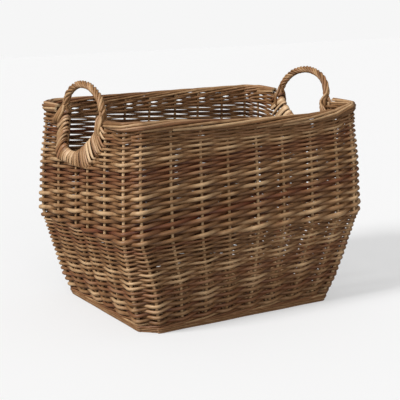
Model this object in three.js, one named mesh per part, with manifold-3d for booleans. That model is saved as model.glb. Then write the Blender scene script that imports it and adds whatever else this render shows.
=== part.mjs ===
// Wicker firewood basket: woven octagonal body, two roped hoop handles over bound hand holes.
// Lengths are millimetres and +Z is up. The origin is on the floor under the middle of the basket.
// X runs along the basket's length and the long front side faces -Y.
// The two long sides are alike, and so are the two ends, each turned half round about Z. Only the
// front rim differs, because it has settled between its corners.
import * as THREE from "three";
import { mergeVertices } from "three/addons/utils/BufferGeometryUtils.js";
import Module from "manifold-3d";

const wasm = await Module();
wasm.setup();

// Outside of the woven wall. The belly is its widest level, and the others are drawn in from it,
// at each end and at each long side.
const bellyHalfLength = 314;
const bellyHalfWidth = 236;
const footEndDraw = 63;
const footSideDraw = 41;
const heelEndDraw = 41;
const heelSideDraw = 23;
const haunchEndDraw = 27;
const haunchSideDraw = 11;
const shoulderEndDraw = 3;
const shoulderSideDraw = 7;
const neckEndDraw = 12;
const neckSideDraw = 18;
const heelHeight = 52.5;
const haunchHeight = 105;
const bellyHeight = 210;
const shoulderHeight = 330;
const neckHeight = 444;
const footCornerCut = 35;
const heelCornerCut = 38;
const haunchCornerCut = 40;
const bellyCornerCut = 32;
const shoulderCornerCut = 30;
const neckCornerCut = 29;

// The wall and its bands of weave.
const wallThickness = 15;
const footWaleHeight = 26;
const topWaleHeight = 20;
const borderHeight = 20;
const borderWidth = 22;
const borderProud = 8;
const borderBevel = 5;
const clearance = 0.3;

// How far the front rim has settled: the shares are for the front's stakes, from left to right, and
// the settling fades out down the wall.
const frontSettle = 15;
const frontSettleShares = [0, 0.1, 0.4, 0.7, 0.87, 0.95, 1, 0.65, 0];
const settleReach = 74;

// Relief of the weave. Up each stake the strokes bulge by turns out of the wall and into it, and
// between stakes the wall is thinner.
const lowerStrokeRows = 7;
const upperStrokeRows = 7;
const thinWallThickness = 5;
const stakeCover = 1;

// Stakes: upright rods that run from the base mat up into the border.
const stakeDiameter = 7.5;
const stakeSides = 6;
const stakeFootReach = 42;
const stakeBendRadius = 8;
const stakeBendSteps = 2;
const stakeHold = 8;
const longSideStakeShares = [-1, -0.74, -0.475, -0.23, 0.04, 0.29, 0.57, 0.83, 1];
const holeSideStakeShare = 0.575;
const endStakeShares = [-1, -holeSideStakeShare, -0.12, 0.17, holeSideStakeShare, 1];

// Base mat and the sticks that lie lengthways in it.
const matThickness = 16;
const stickDiameter = 10;
const stickSides = 10;
const stickPlaceShares = [-0.7, -0.35, 0, 0.35, 0.7];

// Hand hole in each end and the bound edge round it, seen from outside the basket. The bound edge
// holds the stake at each side of the hole, with the bow's leg between that stake and the hole.
const bowInsideStake = 17.9;
const holeInsideBow = 9;
const bindingOutsideStake = 11.1;
const holeDepth = 90;
const holeOutlineShares = [
  [1, 0.14], [0.71, 0.43], [0.24, 0.73], [-0.25, 0.95],
  [-0.62, 1], [-0.95, 0.94], [-1.09, 0.78], [-1, 0.48],
];
const bindingDepth = 113;
const bindingProud = 2;
const bindingRise = 12;
const bindingOutlineShares = [
  [1, 0.275], [0.85, 0.44], [0.63, 0.63], [0.36, 0.91],
  [-0.08, 1], [-0.5, 1], [-0.92, 0.97], [-1.03, 0.84], [-1, 0.6],
];
const outlineSteps = 2;

// Hoop handles.
const bowDiameter = 11;
const bowFootHeight = 6;
const bowRise = 55;
const bowLegDepth = 36;
const bowSides = 8;
const bowSteps = 12;
const ropingThickness = 3;
const leftHoopLean = 3;
const rightHoopLean = -12;

// How far a cutting shape runs past what it cuts.
const overrun = 30;

function wallLevel(height, endDraw, sideDraw, cornerCut) {
  return { height, halfLength: bellyHalfLength - endDraw, halfWidth: bellyHalfWidth - sideDraw, cornerCut };
}

const wallLevels = [
  wallLevel(0, footEndDraw, footSideDraw, footCornerCut),
  wallLevel(heelHeight, heelEndDraw, heelSideDraw, heelCornerCut),
  wallLevel(haunchHeight, haunchEndDraw, haunchSideDraw, haunchCornerCut),
  wallLevel(bellyHeight, 0, 0, bellyCornerCut),
  wallLevel(shoulderHeight, shoulderEndDraw, shoulderSideDraw, shoulderCornerCut),
  wallLevel(neckHeight, neckEndDraw, neckSideDraw, neckCornerCut),
];
const wallMiddle = wallThickness / 2;
const stakeFootHeight = matThickness / 2;
const borderTop = neckHeight + borderHeight;
const bindingTop = neckHeight + bindingRise;
const bindingBottom = bindingTop - bindingDepth;
const bowSpringHeight = bindingTop + bowFootHeight;
const topWaleBottom = neckHeight - topWaleHeight;
const hollowInset = wallMiddle - stakeDiameter / 2 - clearance - stakeCover;
const ropingDiameter = bowDiameter + 2 * ropingThickness;

// When every side of an octagon moves in by one, its corner cut shortens by this much.
const cutLossPerInset = 2 - Math.SQRT2;

// Outside of the wall at a height: straight between levels, and carried on above the neck.
function wallAt(height) {
  const above = wallLevels.findIndex((level) => level.height >= height);
  const upper = above < 0 ? wallLevels.length - 1 : Math.max(above, 1);
  const low = wallLevels[upper - 1];
  const high = wallLevels[upper];
  const share = (height - low.height) / (high.height - low.height);
  return {
    halfLength: THREE.MathUtils.lerp(low.halfLength, high.halfLength, share),
    halfWidth: THREE.MathUtils.lerp(low.halfWidth, high.halfWidth, share),
    cornerCut: THREE.MathUtils.lerp(low.cornerCut, high.cornerCut, share),
  };
}

// The eight corners of the wall at a height, moved in from its outside, anticlockwise from above.
// Corners 7 and 0 bound the front, 1 and 2 the right end, 3 and 4 the back, 5 and 6 the left end.
function octagonAt(height, inset) {
  const wall = wallAt(height);
  const halfLength = wall.halfLength - inset;
  const halfWidth = wall.halfWidth - inset;
  const cut = wall.cornerCut - inset * cutLossPerInset;
  const corners = [
    [halfLength - cut, -halfWidth],
    [halfLength, cut - halfWidth],
    [halfLength, halfWidth - cut],
    [halfLength - cut, halfWidth],
    [cut - halfLength, halfWidth],
    [-halfLength, halfWidth - cut],
    [-halfLength, cut - halfWidth],
    [cut - halfLength, -halfWidth],
  ];
  return corners.map(([x, y]) => new THREE.Vector3(x, y, height));
}

// A closed body through a list of rings with equally many points. Without caps the last ring
// joins the first, which makes a band.
function ringBody(rings, capped) {
  const count = rings[0].length;
  const spans = capped ? rings.length - 1 : rings.length;
  const faces = [];
  for (let ring = 0; ring < spans; ring += 1) {
    const next = (ring + 1) % rings.length;
    for (let corner = 0; corner < count; corner += 1) {
      const after = (corner + 1) % count;
      const a = ring * count + corner;
      const b = ring * count + after;
      const c = next * count + after;
      const d = next * count + corner;
      faces.push(a, b, c, a, c, d);
    }
  }
  const top = (rings.length - 1) * count;
  for (let corner = 1; capped && corner < count - 1; corner += 1) {
    faces.push(0, corner + 1, corner);
    faces.push(top, top + corner, top + corner + 1);
  }
  const geometry = new THREE.BufferGeometry();
  const positions = rings.flat().flatMap((point) => point.toArray());
  geometry.setAttribute("position", new THREE.Float32BufferAttribute(positions, 3));
  geometry.setIndex(faces);
  return geometry;
}

// Heights where a stretch of wall needs a ring: its two ends and the bends between them.
// The neck isn't a bend, because the wall carries on straight above it.
function heightsBetween(bottom, top) {
  const bends = wallLevels.slice(1, -1).map((level) => level.height);
  return [bottom, ...bends.filter((height) => height > bottom && height < top), top];
}

// A band that goes all the way round, between two heights and two insets.
function wallBand(bottom, top, outerInset, innerInset) {
  const heights = heightsBetween(bottom, top);
  const outside = heights.map((height) => octagonAt(height, outerInset));
  const inside = heights.map((height) => octagonAt(height, innerInset)).reverse();
  return ringBody([...outside, ...inside], false);
}

// A path whose steps end exactly at the given stations, however far apart they lie.
class StationPath extends THREE.Curve {
  constructor(stations) {
    super();
    this.stations = stations;
  }

  getPointAt(share, target = new THREE.Vector3()) {
    const last = this.stations.length - 1;
    const index = Math.min(Math.floor(share * last), last - 1);
    return target.lerpVectors(this.stations[index], this.stations[index + 1], share * last - index);
  }

  getPoint(share, target) {
    return this.getPointAt(share, target);
  }

  getTangentAt(share, target = new THREE.Vector3()) {
    const last = this.stations.length - 1;
    const index = Math.round(share * last);
    const before = this.stations[Math.max(index - 1, 0)];
    const here = this.stations[index];
    const after = this.stations[Math.min(index + 1, last)];
    const incoming = here.clone().sub(before).normalize();
    const outgoing = after.clone().sub(here).normalize();
    return target.addVectors(incoming, outgoing).normalize();
  }
}

function roundPoints(diameter, sides) {
  const points = [];
  for (let side = 0; side < sides; side += 1) {
    const angle = (side / sides) * Math.PI * 2;
    points.push(new THREE.Vector2(Math.cos(angle), Math.sin(angle)).multiplyScalar(diameter / 2));
  }
  return points;
}

// A rod along stations, or a sleeve where a bore diameter is given.
function rod(stations, diameter, sides, boreDiameter = 0) {
  const section = new THREE.Shape(roundPoints(diameter, sides));
  if (boreDiameter > 0) {
    section.holes.push(new THREE.Path(roundPoints(boreDiameter, sides)));
  }
  return new THREE.ExtrudeGeometry(section, {
    steps: stations.length - 1,
    extrudePath: new StationPath(stations),
    bevelEnabled: false,
  });
}

// The same stations with both ends moved on by a distance.
function lengthened(stations, distance) {
  const first = stations[0];
  const last = stations[stations.length - 1];
  const backward = first.clone().sub(stations[1]).setLength(distance);
  const forward = last.clone().sub(stations[stations.length - 2]).setLength(distance);
  return [first.clone().add(backward), ...stations.slice(1, -1), last.clone().add(forward)];
}

function solidOf(geometry) {
  const bare = geometry.clone();
  bare.deleteAttribute("normal");
  bare.deleteAttribute("uv");
  const merged = mergeVertices(bare);
  const mesh = new wasm.Mesh({
    numProp: 3,
    vertProperties: merged.attributes.position.array,
    triVerts: new Uint32Array(merged.index.array),
  });
  return new wasm.Manifold(mesh);
}

function geometryOf(solid) {
  const mesh = solid.getMesh();
  const geometry = new THREE.BufferGeometry();
  geometry.setAttribute("position", new THREE.BufferAttribute(mesh.vertProperties, 3));
  geometry.setIndex(new THREE.BufferAttribute(mesh.triVerts, 1));
  return geometry;
}

function cutAll(solid, cutters) {
  return cutters.reduce((rest, cutter) => rest.subtract(cutter), solid);
}

// A place on one side of the wall. Side 0 is the front, and the sides follow anticlockwise.
// Share -1 is the side's left corner seen from outside, and 1 its right corner.
function placeOnSide(side, share, height, inset) {
  const corners = octagonAt(height, inset);
  const left = corners[(2 * side + 7) % corners.length];
  const right = corners[(2 * side) % corners.length];
  return new THREE.Vector3().lerpVectors(left, right, (share + 1) / 2);
}

// The stakes' places round the wall, anticlockwise, and how much of the settling each takes.
const sideNames = ["front", "right", "back", "left"];
const stakePlaces = sideNames.flatMap((sideName, side) => {
  const shares = side % 2 === 1 ? endStakeShares : longSideStakeShares;
  return shares.map((share, index) => {
    const settleShare = sideName === "front" ? frontSettleShares[index] : 0;
    return { name: `stake_${sideName}_${index + 1}`, side, share, settleShare };
  });
});

// Where a stake's place lies at a height, after the rim has settled.
function settledPlace(place, height, inset) {
  const fade = THREE.MathUtils.clamp((height - neckHeight + settleReach) / settleReach, 0, 1);
  const settledHeight = height - frontSettle * place.settleShare * fade;
  return placeOnSide(place.side, place.share, settledHeight, inset);
}

// A ring of the rim: the eight corners, and the front's stakes, where the rim has settled.
function rimRing(height, inset) {
  const settled = stakePlaces.filter((place) => place.settleShare > 0);
  return [...octagonAt(height, inset), ...settled.map((place) => settledPlace(place, height, inset))];
}

// A ring of the weave, with one inset at the stakes and one midway between them.
function weaveRing(height, stakeInset, middleInset) {
  return stakePlaces.flatMap((place, index) => {
    const next = stakePlaces[(index + 1) % stakePlaces.length];
    const middle = settledPlace(place, height, middleInset);
    middle.lerp(settledPlace(next, height, middleInset), 1 / 2);
    return [settledPlace(place, height, stakeInset), middle];
  });
}

// A band of weave, whose strokes stand out on the outside where they are drawn in on the inside.
function weaveBand(bottom, top, strokeRows) {
  const outerMiddle = wallMiddle - thinWallThickness / 2;
  const innerMiddle = wallMiddle + thinWallThickness / 2;
  const outside = [weaveRing(bottom, 0, 0)];
  const inside = [weaveRing(bottom, wallThickness, wallThickness)];
  for (let step = 1; step < 2 * strokeRows; step += 1) {
    const height = THREE.MathUtils.lerp(bottom, top, step / (2 * strokeRows));
    const isOut = step % 2 === 1;
    outside.push(weaveRing(height, isOut ? 0 : hollowInset, outerMiddle));
    inside.push(weaveRing(height, wallThickness - (isOut ? hollowInset : 0), innerMiddle));
  }
  outside.push(weaveRing(top, 0, 0));
  inside.push(weaveRing(top, wallThickness, wallThickness));
  return ringBody([...outside, ...inside.reverse()], false);
}

const holeSideStakeY = placeOnSide(1, holeSideStakeShare, neckHeight, wallMiddle).y;
const bowHalfWidth = holeSideStakeY - bowInsideStake;
const holeHalfWidth = bowHalfWidth - holeInsideBow;
const bindingHalfWidth = holeSideStakeY + bindingOutsideStake;

// A stake starts in the base mat, bends up at the wall and follows the wall's middle.
function stakeStations(place, top) {
  const { side, share } = place;
  const tip = placeOnSide(side, share, stakeFootHeight, stakeFootReach);
  const bendTop = stakeFootHeight + stakeBendRadius;
  const bend = new THREE.QuadraticBezierCurve3(
    placeOnSide(side, share, stakeFootHeight, wallMiddle + stakeBendRadius),
    placeOnSide(side, share, stakeFootHeight, wallMiddle),
    placeOnSide(side, share, bendTop, wallMiddle),
  );
  const rises = heightsBetween(bendTop, top).slice(1);
  const upright = rises.map((height) => settledPlace(place, height, wallMiddle));
  return [tip, ...bend.getPoints(stakeBendSteps), ...upright];
}

// Points of an outline in an end wall: x runs to the right seen from outside, y is the height.
function outlinePoints(shares, halfWidth, depth) {
  return shares.map(([across, down]) => new THREE.Vector2(across * halfWidth, bindingTop - down * depth));
}

// A block with the outline's shape that runs through the right end wall, wherever the wall leans.
function endBlock(shares, halfWidth, depth, top) {
  const reaches = [wallAt(bindingBottom).halfLength, wallAt(bindingTop).halfLength];
  const inside = Math.min(...reaches) - wallThickness - overrun;
  const outside = Math.max(...reaches) + overrun;
  const points = outlinePoints(shares, halfWidth, depth);
  const outline = new THREE.Shape();
  outline.moveTo(points[0].x, top);
  outline.lineTo(points[0].x, points[0].y);
  outline.splineThru(points.slice(1));
  outline.lineTo(points[points.length - 1].x, top);
  const block = new THREE.ExtrudeGeometry(outline, {
    depth: outside - inside,
    bevelEnabled: false,
    curveSegments: outlineSteps,
  });
  const across = new THREE.Vector3(0, 1, 0);
  const up = new THREE.Vector3(0, 0, 1);
  const outward = new THREE.Vector3(1, 0, 0);
  block.applyMatrix4(new THREE.Matrix4().makeBasis(across, up, outward));
  return block.translate(inside, 0, 0);
}

function halfTurned(geometry) {
  return geometry.clone().rotateZ(Math.PI);
}

// A hoop stands on the bound edge: short upright feet, then half an ellipse that leans with height.
function hoopStations(footHeight, lean) {
  const springX = wallAt(bowSpringHeight).halfLength - wallMiddle;
  const arch = [];
  for (let step = 0; step <= bowSteps; step += 1) {
    const angle = (step / bowSteps) * Math.PI;
    const rise = bowRise * Math.sin(angle);
    const x = springX - (lean * rise) / bowRise;
    arch.push(new THREE.Vector3(x, -bowHalfWidth * Math.cos(angle), bowSpringHeight + rise));
  }
  const firstFoot = new THREE.Vector3(springX, -bowHalfWidth, footHeight);
  const lastFoot = new THREE.Vector3(springX, bowHalfWidth, footHeight);
  return [firstFoot, ...arch, lastFoot];
}

// The bow's legs go on down from its feet, in the middle of the wall.
function bowStations(lean) {
  const legBottom = bindingTop - bowLegDepth;
  const legX = wallAt(legBottom).halfLength - wallMiddle;
  const firstLeg = new THREE.Vector3(legX, -bowHalfWidth, legBottom);
  const lastLeg = new THREE.Vector3(legX, bowHalfWidth, legBottom);
  return [firstLeg, ...hoopStations(bindingTop, lean), lastLeg];
}

const basket = new THREE.Group();

function addPiece(name, geometry, color, roughness) {
  geometry.deleteAttribute("normal");
  geometry.deleteAttribute("uv");
  const flat = geometry.index ? geometry.toNonIndexed() : geometry;
  flat.computeVertexNormals();
  const material = new THREE.MeshStandardMaterial({ color, roughness, metalness: 0 });
  const mesh = new THREE.Mesh(flat, material);
  mesh.name = name;
  basket.add(mesh);
  return mesh;
}

// Stakes and the bores that they run in.
const stakeBores = stakePlaces.map((place) => {
  const offset = Math.abs(placeOnSide(place.side, place.share, neckHeight, wallMiddle).y);
  const isUnderHole = place.side % 2 === 1 && offset < holeHalfWidth;
  const top = isUnderHole ? bindingBottom + stakeHold : neckHeight + stakeHold;
  const stations = stakeStations(place, top);
  addPiece(place.name, rod(stations, stakeDiameter, stakeSides), 0x8d6a45, 0.7);
  const boreWidth = stakeDiameter + (2 * clearance) / Math.cos(Math.PI / stakeSides);
  return solidOf(rod(lengthened(stations, clearance), boreWidth, stakeSides));
});

// Base sticks lie lengthways in the mat and stop short of the foot wale.
const stickHalfLength = wallAt(stakeFootHeight - stickDiameter / 2).halfLength - wallThickness - clearance;
const stickBores = stickPlaceShares.map((share, index) => {
  const y = share * (wallAt(0).halfWidth - wallMiddle);
  const stations = [
    new THREE.Vector3(-stickHalfLength, y, stakeFootHeight),
    new THREE.Vector3(stickHalfLength, y, stakeFootHeight),
  ];
  addPiece(`base_stick_${index + 1}`, rod(stations, stickDiameter, stickSides), 0x86623e, 0.75);
  return solidOf(rod(lengthened(stations, overrun), stickDiameter + 2 * clearance, stickSides));
});

// Base mat inside the foot wale.
const matInset = wallThickness + clearance;
const mat = solidOf(ringBody([octagonAt(0, matInset), octagonAt(matThickness, matInset)], true));
addPiece("base_mat", geometryOf(cutAll(mat, [...stakeBores, ...stickBores])), 0x7d5b38, 0.8);

// Full-round bands from the floor to the top wale.
const footWale = solidOf(wallBand(0, footWaleHeight, 0, wallThickness));
addPiece("foot_wale", geometryOf(cutAll(footWale, stakeBores)), 0x80603d, 0.75);
const lowerTop = bellyHeight - clearance / 2;
const lowerWeave = solidOf(weaveBand(footWaleHeight + clearance, lowerTop, lowerStrokeRows));
addPiece("lower_weave", geometryOf(cutAll(lowerWeave, stakeBores)), 0x8a6742, 0.75);

const bindingRoom = endBlock(
  bindingOutlineShares,
  bindingHalfWidth + clearance,
  bindingDepth + clearance,
  bindingTop + overrun,
);
const bindingRooms = [solidOf(bindingRoom), solidOf(halfTurned(bindingRoom))];
const upperWeave = solidOf(weaveBand(bellyHeight + clearance / 2, topWaleBottom, upperStrokeRows));
const upperCutters = [...bindingRooms, ...stakeBores];
addPiece("upper_weave", geometryOf(cutAll(upperWeave, upperCutters)), 0x91704a, 0.75);

// The top wale and the border stop at the bound edges, so each has a front and a back half.
const halfBlock = new THREE.BoxGeometry(
  2 * (bellyHalfLength + overrun),
  bellyHalfWidth + overrun,
  borderTop + 2 * overrun,
);
const halfBlockY = bindingHalfWidth + clearance + (bellyHalfWidth + overrun) / 2;
halfBlock.translate(0, -halfBlockY, borderTop / 2);
const halfBlocks = { front: solidOf(halfBlock), back: solidOf(halfTurned(halfBlock)) };

const topWaleSection = [
  [topWaleBottom + clearance, 0],
  [neckHeight - clearance, 0],
  [neckHeight - clearance, wallThickness],
  [topWaleBottom + clearance, wallThickness],
];
const topWale = solidOf(ringBody(topWaleSection.map(([height, inset]) => rimRing(height, inset)), false));
const boredTopWale = cutAll(topWale, stakeBores);

const borderInner = borderWidth - borderProud;
const borderSection = [
  [neckHeight, borderBevel - borderProud],
  [neckHeight + borderBevel, -borderProud],
  [borderTop - borderBevel, -borderProud],
  [borderTop, borderBevel - borderProud],
  [borderTop, borderInner - borderBevel],
  [borderTop - borderBevel, borderInner],
  [neckHeight + borderBevel, borderInner],
  [neckHeight, borderInner - borderBevel],
];
const border = solidOf(ringBody(borderSection.map(([height, inset]) => rimRing(height, inset)), false));
const boredBorder = cutAll(border, stakeBores);

Object.entries(halfBlocks).forEach(([half, block]) => {
  addPiece(`top_wale_${half}`, geometryOf(boredTopWale.intersect(block)), 0x8a6743, 0.75);
  addPiece(`border_${half}`, geometryOf(boredBorder.intersect(block)), 0x8c6844, 0.7);
});

// Bound edge of each hand hole, and the hoop that stands in it.
const bindingSlab = solidOf(
  wallBand(bindingBottom - overrun, bindingTop, -bindingProud, wallThickness + bindingProud),
);
const bindingBlock = endBlock(bindingOutlineShares, bindingHalfWidth, bindingDepth, bindingTop + overrun);
const holeBlock = endBlock(holeOutlineShares, holeHalfWidth, holeDepth, bindingTop + overrun);

function addEnd(name, lean, turn) {
  const bow = bowStations(lean);
  const roping = hoopStations(bindingTop + clearance, lean);
  const boreWidth = bowDiameter + (2 * clearance) / Math.cos(Math.PI / bowSides);
  const bowBore = solidOf(turn(rod(lengthened(bow, clearance), boreWidth, bowSides)));
  const cutters = [solidOf(turn(holeBlock)), bowBore, ...stakeBores];
  const binding = cutAll(bindingSlab.intersect(solidOf(turn(bindingBlock))), cutters);
  addPiece(`hole_binding_${name}`, geometryOf(binding), 0xb08c62, 0.65);
  addPiece(`handle_bow_${name}`, turn(rod(bow, bowDiameter, bowSides)), 0x9c7850, 0.7);
  addPiece(`handle_roping_${name}`, turn(rod(roping, ropingDiameter, bowSides, boreWidth)), 0xac8658, 0.65);
}

addEnd("right", rightHoopLean, (geometry) => geometry.clone());
addEnd("left", leftHoopLean, halfTurned);

export default basket;
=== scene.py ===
# %% [markdown]
# # A wicker log basket
#
# The real object is an open basket for firewood, made from unpeeled willow rods and nothing else.
# Thirty stakes stand up from a woven base. Two sets of rods are woven round them in French randing,
# the lower set from the foot to the belly and the upper set from the belly to the rim. A few rounds
# of waling hold the foot and the top, a thick border closes the rim, and each end has a roped hoop
# handle over a hand hole whose edge is bound with split willow.
#
# A woven look could be painted on a smooth shell with a bump texture, but a basket is judged by its
# gaps and by how each rod passes in front of one stake and behind the next. So every rod here is a
# real tube of its own. The frame from CAD fixes the size and the place of every band.

# %% Load the frame
import math

import bpy
import numpy as np
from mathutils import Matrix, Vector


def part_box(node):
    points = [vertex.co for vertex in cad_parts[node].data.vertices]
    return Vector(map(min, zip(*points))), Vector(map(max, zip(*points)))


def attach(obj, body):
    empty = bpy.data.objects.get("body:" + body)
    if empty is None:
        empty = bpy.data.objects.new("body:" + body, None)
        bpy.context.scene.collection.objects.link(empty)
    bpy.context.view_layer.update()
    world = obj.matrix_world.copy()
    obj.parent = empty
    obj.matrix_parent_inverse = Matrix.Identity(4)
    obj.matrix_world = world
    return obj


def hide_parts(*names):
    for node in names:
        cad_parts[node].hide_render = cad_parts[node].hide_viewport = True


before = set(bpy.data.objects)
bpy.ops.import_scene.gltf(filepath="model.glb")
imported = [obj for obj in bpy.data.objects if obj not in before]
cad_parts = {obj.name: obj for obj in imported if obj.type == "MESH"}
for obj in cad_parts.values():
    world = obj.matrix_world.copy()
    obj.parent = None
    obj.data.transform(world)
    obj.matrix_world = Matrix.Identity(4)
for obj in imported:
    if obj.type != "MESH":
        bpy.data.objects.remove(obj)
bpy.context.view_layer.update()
scene = bpy.context.scene
MM = 0.001

# %% [markdown]
# ## The camera
#
# The photograph looks a little down on the basket from its front left, from far away. The place, the
# turn and the lens were found by laying the rim, the belly and the foot of the frame over it.

# %% Camera
CAMERA_PLACE = (-1.3496, -2.1709, 0.7957)
CAMERA_YAW = math.radians(31.927)
CAMERA_PITCH = math.radians(12.47)
SENSOR_WIDTH = 36.0
FOCAL_PIXELS = 1117.78
PHOTO_WIDTH = 400

camera_data = bpy.data.cameras.new("camera")
camera_data.sensor_width = SENSOR_WIDTH
camera_data.lens = SENSOR_WIDTH * FOCAL_PIXELS / PHOTO_WIDTH
camera = bpy.data.objects.new("camera", camera_data)
camera.location = CAMERA_PLACE
camera.rotation_euler = (math.pi / 2 - CAMERA_PITCH, 0, -CAMERA_YAW)
scene.collection.objects.link(camera)
scene.camera = camera
print("lens:", round(camera_data.lens, 2), "mm")

# %% [markdown]
# ## The shape of the wall
#
# In plan the basket is a long octagon. Its wall flares from the foot to the belly and draws in again to
# the rim. The belly's half length and half width are read from the frame, and the other levels are
# drawn in from it by the same amounts as in the solids.

# %% Wall levels
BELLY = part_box("lower_weave")[1]
NECK_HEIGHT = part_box("border_back")[0].z
BORDER_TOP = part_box("border_back")[1].z
FOOT_WALE_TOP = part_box("foot_wale")[1].z
LOWER_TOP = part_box("lower_weave")[1].z
UPPER_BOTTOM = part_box("upper_weave")[0].z
UPPER_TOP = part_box("upper_weave")[1].z
BELLY_HEIGHT = (LOWER_TOP + UPPER_BOTTOM) / 2
# The foot, heel, haunch, belly, shoulder and neck. For each: height, how far it is drawn in at the
# ends and at the long sides, corner cut.
LEVELS = [
    (0, 63 * MM, 41 * MM, 35 * MM),
    (52.5 * MM, 41 * MM, 23 * MM, 38 * MM),
    (105 * MM, 27 * MM, 11 * MM, 40 * MM),
    (BELLY_HEIGHT, 0, 0, 32 * MM),
    (330 * MM, 3 * MM, 7 * MM, 30 * MM),
    (NECK_HEIGHT, 12 * MM, 18 * MM, 29 * MM),
]
WALL_THICKNESS = 15 * MM
# The corner cut shrinks by this share of the distance that the sides move in.
CUT_LOSS = 2 - math.sqrt(2)
print("levels in mm:", [round(level[0] / MM, 1) for level in LEVELS])

# %% [markdown]
# ## Places on the wall
#
# A place on the wall is given as one would say it at a bench: on which side, how far along it, how
# high, and how deep in the wall. Three small functions turn that into coordinates.

# %% Places on the wall


def wall_at(height):
    """Half length, half width and corner cut of the wall's outside, also for arrays of heights."""
    height = np.asarray(height, float)
    heights, *columns = zip(*LEVELS)
    found = []
    for values in columns:
        slope = (values[-1] - values[-2]) / (heights[-1] - heights[-2])
        above = np.maximum(height - heights[-1], 0) * slope
        found.append(np.interp(height, heights, values) + above)
    return BELLY.x - found[0], BELLY.y - found[1], found[2]


def corner_at(corner, height, inset):
    """A corner of the octagon, moved in from the wall's outside. Corner 0 is the front's right one."""
    length, width, cut = wall_at(height)
    length, width, cut = length - inset, width - inset, cut - inset * CUT_LOSS
    x = length - cut if corner % 4 in (0, 3) else length
    y = width if corner % 4 in (0, 3) else width - cut
    turn = -1 if 3 < corner else 1
    side = -1 if corner % 4 < 2 else 1
    return np.stack([turn * x, turn * side * y, height + 0 * x], -1)


def on_side(side, share, height, inset):
    """A place on a side. Side 0 is the front, 1 the right end. Share runs from -1 to 1, left to right
    as seen from outside."""
    left = corner_at((2 * side + 7) % 8, height, inset)
    right = corner_at(2 * side % 8, height, inset)
    return left + (right - left) * (share + 1) / 2


print("belly corner 0:", np.round(corner_at(0, BELLY_HEIGHT, 0), 3))

# %% [markdown]
# ## The stakes
#
# A stake is the warp of a basket: a rod of about 7 mm that the weavers pass in front of and behind.
# There are nine on each long side and six on each end, with one in every corner of the octagon. They
# are numbered here all the way round, anticlockwise from above, so a weaver can step from one to the
# next.

# %% Stakes in a ring
LONG_SIDE_SHARES = [-1, -0.74, -0.475, -0.23, 0.04, 0.29, 0.57, 0.83, 1]
HOLE_SIDE_SHARE = 0.575
END_SHARES = [-1, -HOLE_SIDE_SHARE, -0.12, 0.17, HOLE_SIDE_SHARE, 1]
SIDE_NAMES = ["front", "right", "back", "left"]
SIDE_OUT = [(0, -1), (1, 0), (0, 1), (-1, 0)]
STAKE_INSET = 7.5 * MM
# At a corner, a stake's own side pulls its outward direction more than the neighbour does.
OWN_SIDE_PULL = 1.3
NEIGHBOUR_PULL = 0.55

ring = [
    (side, share, f"stake_{SIDE_NAMES[side]}_{index + 1}")
    for side in range(4)
    for index, share in enumerate(END_SHARES if side % 2 else LONG_SIDE_SHARES)
]


def outward(index):
    """The level direction out of the wall at a stake. At a corner it splits the two faces' directions."""
    side, share, _ = ring[index % len(ring)]
    out = np.array(SIDE_OUT[side], float)
    if abs(share) == 1:
        neighbour = np.array(SIDE_OUT[(side + int(share)) % 4], float)
        out = OWN_SIDE_PULL * out + NEIGHBOUR_PULL * neighbour
    return np.append(out / np.linalg.norm(out), 0)


print("stakes:", len(ring))

# %% [markdown]
# ## Settling and sagging
#
# The front rim has settled between its corners, as a long side does when logs are thrown over it. The
# rounds also sag at the back's left corner, where the weaver beat them down harder. Both are built
# into the function that says where a woven height lies on a stake, so every rod takes part.

# %% Settling and sagging
FRONT_SETTLE = 15 * MM
FRONT_SETTLE_SHARES = [0, 0.1, 0.4, 0.7, 0.87, 0.95, 1, 0.65, 0]
SETTLE_REACH = 74 * MM
CORNER_SAG = 18 * MM
SAG_HEIGHTS = [30 * MM, 210 * MM, 330 * MM, 444 * MM]
SAG_SHARES = [0, 1, 0.8, 0]
BACK_SIDE, LEFT_SIDE = 2, 3


def settling(index):
    """How far the rim has settled at a stake, or between two stakes where the index isn't whole."""
    shares = FRONT_SETTLE_SHARES + [0] * (len(ring) - len(FRONT_SETTLE_SHARES))
    return FRONT_SETTLE * np.interp(np.mod(index, len(ring)), range(len(ring) + 1), shares + shares[:1])


def stake_at(index, height):
    """Where the woven height lies on a stake, after the settling and the sag of the rounds."""
    number = index % len(ring)
    side, share, _ = ring[number]
    height = np.asarray(height, float)
    fade = np.clip((height - NECK_HEIGHT + SETTLE_REACH) / SETTLE_REACH, 0, 1)
    nearness = {BACK_SIDE: (1 + share) / 2, LEFT_SIDE: (1 - share) / 2}
    along = nearness.get(side, 0)
    sag = CORNER_SAG * along * np.interp(height, SAG_HEIGHTS, SAG_SHARES)
    return on_side(side, share, height - settling(index) * fade - sag, STAKE_INSET)


def wall_normal(index, height, reach=12 * MM):
    """The way out of the leaning wall at a stake, by comparing the stake a little above and below."""
    out = outward(index)
    lean = (stake_at(index, height + reach) - stake_at(index, height - reach)) @ out / (2 * reach)
    normal = out - np.multiply.outer(lean, [0, 0, 1])
    return normal / np.linalg.norm(normal, axis=-1, keepdims=True)


print("the front rim's lowest stake lies", round(max(map(settling, range(9))) / MM, 1), "mm down")

# %% [markdown]
# ## From a path to a rod
#
# Every rod is a tube that follows a path. Blender's curves with a bevel could make it, but a tube
# made point by point can be oval, can taper from butt to tip, and can carry what the bark's material
# needs: the place along the rod and round it, a tone for that rod, and how red its bark is.

# %% Paths


def unit(vectors):
    return vectors / np.maximum(np.linalg.norm(vectors, axis=-1, keepdims=True), 1e-12)


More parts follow.
